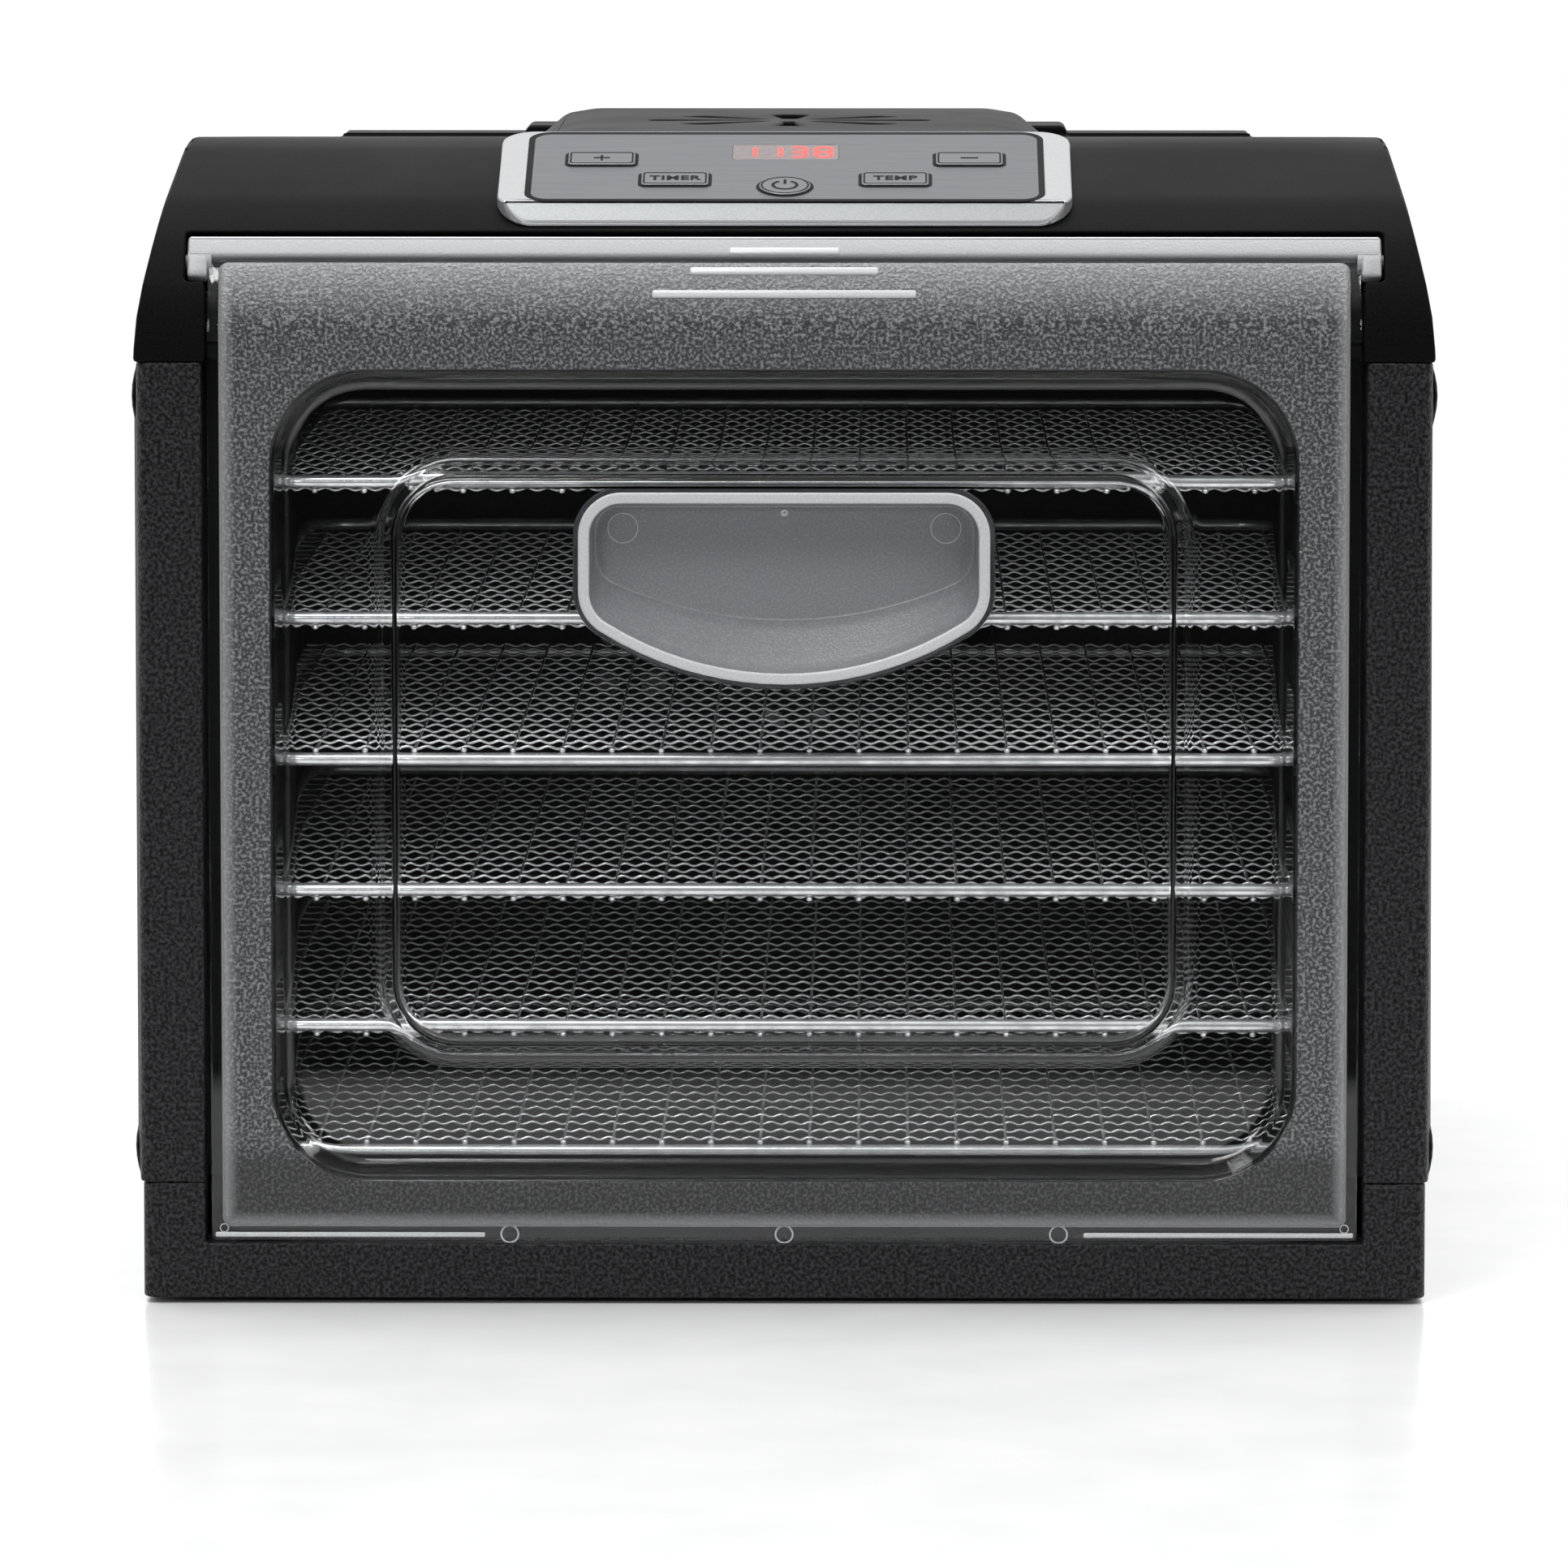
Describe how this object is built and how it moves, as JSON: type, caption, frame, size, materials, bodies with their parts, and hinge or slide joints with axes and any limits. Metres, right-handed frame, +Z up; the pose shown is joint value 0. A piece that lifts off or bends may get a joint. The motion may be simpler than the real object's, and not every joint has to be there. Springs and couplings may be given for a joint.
{
  "type": "food dehydrator",
  "caption": "Front-loading food dehydrator with wire trays behind a clear swing-up door, rear fan and heater, and a sloped key panel on top.",
  "frame": {"origin": "centre of the bounding box, on the surface that the feet stand on", "axes": "+X to the right as seen from the front, +Y from the door to the rear cover, +Z up"},
  "size_m": [0.3464, 0.45, 0.3099],
  "materials": {
    "black_abs": "moulded with a fine spark-eroded grain",
    "cover_abs": "satin moulded top with a fine grain",
    "clear_pc": "clear polycarbonate with frosted areas",
    "silver_paint": "metallic silver lacquer on moulded plastic",
    "brushed_overlay": "brushed across, satin",
    "key_metal": "brushed key caps with dark outlines",
    "smoked_lens": "smoked display window",
    "led_red": "lit red segments",
    "chrome_wire": "bright chromed wire",
    "zinc_steel": "zinc plated",
    "motor_steel": "grey lacquer",
    "fan_aluminium": "stamped sheet",
    "heater_steel": "heat-darkened sheath",
    "board_green": "solder mask",
    "component_grey": "moulded components",
    "foot_rubber": "soft foot",
    "inlet_plastic": "moulded inlet",
    "pin_nickel": "plated contact pins"
  },
  "bodies": {
    "housing": {"base_tub": "black_abs", "left_side_panel": "black_abs", "right_side_panel": "black_abs", "top_cover": "cover_abs", "rear_cover": "black_abs", "chamber_wall_left": "black_abs", "chamber_wall_right": "black_abs", "chamber_ceiling": "black_abs", "fan_bulkhead": "black_abs", "fan_shroud": "black_abs", "heater_pads": "zinc_steel", "heater_ring": "heater_steel", "thermal_cutoff": "zinc_steel", "temperature_probe": "zinc_steel", "motor_bracket": "zinc_steel", "motor_body": "motor_steel", "motor_screws": "zinc_steel", "top_vent_grille": "cover_abs", "control_bezel": "silver_paint", "control_overlay": "brushed_overlay", "display_lens": "smoked_lens", "display_module": "led_red", "control_board": "board_green", "key_switches": "black_abs", "power_board": "board_green", "power_board_parts": "component_grey", "power_inlet": "inlet_plastic", "inlet_pins": "pin_nickel", "rubber_feet": "foot_rubber", "cover_screws": "zinc_steel"},
    "door": {"door_panel": "clear_pc"},
    "fan": {"fan_shaft": "zinc_steel", "fan_blades": "fan_aluminium", "fan_nut": "zinc_steel"},
    "tray_1": {"tray_1_frame": "chrome_wire", "tray_1_mesh": "chrome_wire"},
    "tray_2": {"tray_2_frame": "chrome_wire", "tray_2_mesh": "chrome_wire"},
    "tray_3": {"tray_3_frame": "chrome_wire", "tray_3_mesh": "chrome_wire"},
    "tray_4": {"tray_4_frame": "chrome_wire", "tray_4_mesh": "chrome_wire"},
    "tray_5": {"tray_5_frame": "chrome_wire", "tray_5_mesh": "chrome_wire"},
    "tray_6": {"tray_6_frame": "chrome_wire", "tray_6_mesh": "chrome_wire"},
    "key_plus": {"key_plus": "key_metal"},
    "key_minus": {"key_minus": "key_metal"},
    "key_timer": {"key_timer": "key_metal"},
    "key_temp": {"key_temp": "key_metal"},
    "key_power": {"key_power": "key_metal"}
  },
  "joints": [
    {"name": "door_swing", "type": "hinge", "parent": "housing", "child": "door", "pos_m": [0, -0.2146, 0.2775], "axis": [-1, 0, 0], "range_deg": [0, 105]},
    {"name": "tray_1_slide", "type": "slide", "parent": "housing", "child": "tray_1", "axis": [0, -1, 0], "range_m": [0, 0.1]},
    {"name": "tray_2_slide", "type": "slide", "parent": "housing", "child": "tray_2", "axis": [0, -1, 0], "range_m": [0, 0.13]},
    {"name": "tray_3_slide", "type": "slide", "parent": "housing", "child": "tray_3", "axis": [0, -1, 0], "range_m": [0, 0.16]},
    {"name": "tray_4_slide", "type": "slide", "parent": "housing", "child": "tray_4", "axis": [0, -1, 0], "range_m": [0, 0.19]},
    {"name": "tray_5_slide", "type": "slide", "parent": "housing", "child": "tray_5", "axis": [0, -1, 0], "range_m": [0, 0.22]},
    {"name": "tray_6_slide", "type": "slide", "parent": "housing", "child": "tray_6", "axis": [0, -1, 0], "range_m": [0, 0.25]},
    {"name": "fan_spin", "type": "hinge", "parent": "housing", "child": "fan", "pos_m": [0, 0.175, 0.1342], "axis": [0, 1, 0], "continuous": true},
    {"name": "press_plus", "type": "slide", "parent": "housing", "child": "key_plus", "axis": [0, 0.2924, -0.9563], "range_m": [0, 0.0008], "stiffness_N_per_m": 600, "springref_m": -0.0004},
    {"name": "press_minus", "type": "slide", "parent": "housing", "child": "key_minus", "axis": [0, 0.2924, -0.9563], "range_m": [0, 0.0008], "stiffness_N_per_m": 600, "springref_m": -0.0004},
    {"name": "press_timer", "type": "slide", "parent": "housing", "child": "key_timer", "axis": [0, 0.2924, -0.9563], "range_m": [0, 0.0008], "stiffness_N_per_m": 600, "springref_m": -0.0004},
    {"name": "press_temp", "type": "slide", "parent": "housing", "child": "key_temp", "axis": [0, 0.2924, -0.9563], "range_m": [0, 0.0008], "stiffness_N_per_m": 600, "springref_m": -0.0004},
    {"name": "press_power", "type": "slide", "parent": "housing", "child": "key_power", "axis": [0, 0.2924, -0.9563], "range_m": [0, 0.0008], "stiffness_N_per_m": 600, "springref_m": -0.0004}
  ],
  "couplings": [
    {"joint": "tray_1_slide", "follows": "door_swing", "m_per_rad": 0.05456},
    {"joint": "tray_2_slide", "follows": "door_swing", "m_per_rad": 0.07093},
    {"joint": "tray_3_slide", "follows": "door_swing", "m_per_rad": 0.0873},
    {"joint": "tray_4_slide", "follows": "door_swing", "m_per_rad": 0.10367},
    {"joint": "tray_5_slide", "follows": "door_swing", "m_per_rad": 0.12004},
    {"joint": "tray_6_slide", "follows": "door_swing", "m_per_rad": 0.13641}
  ]
}
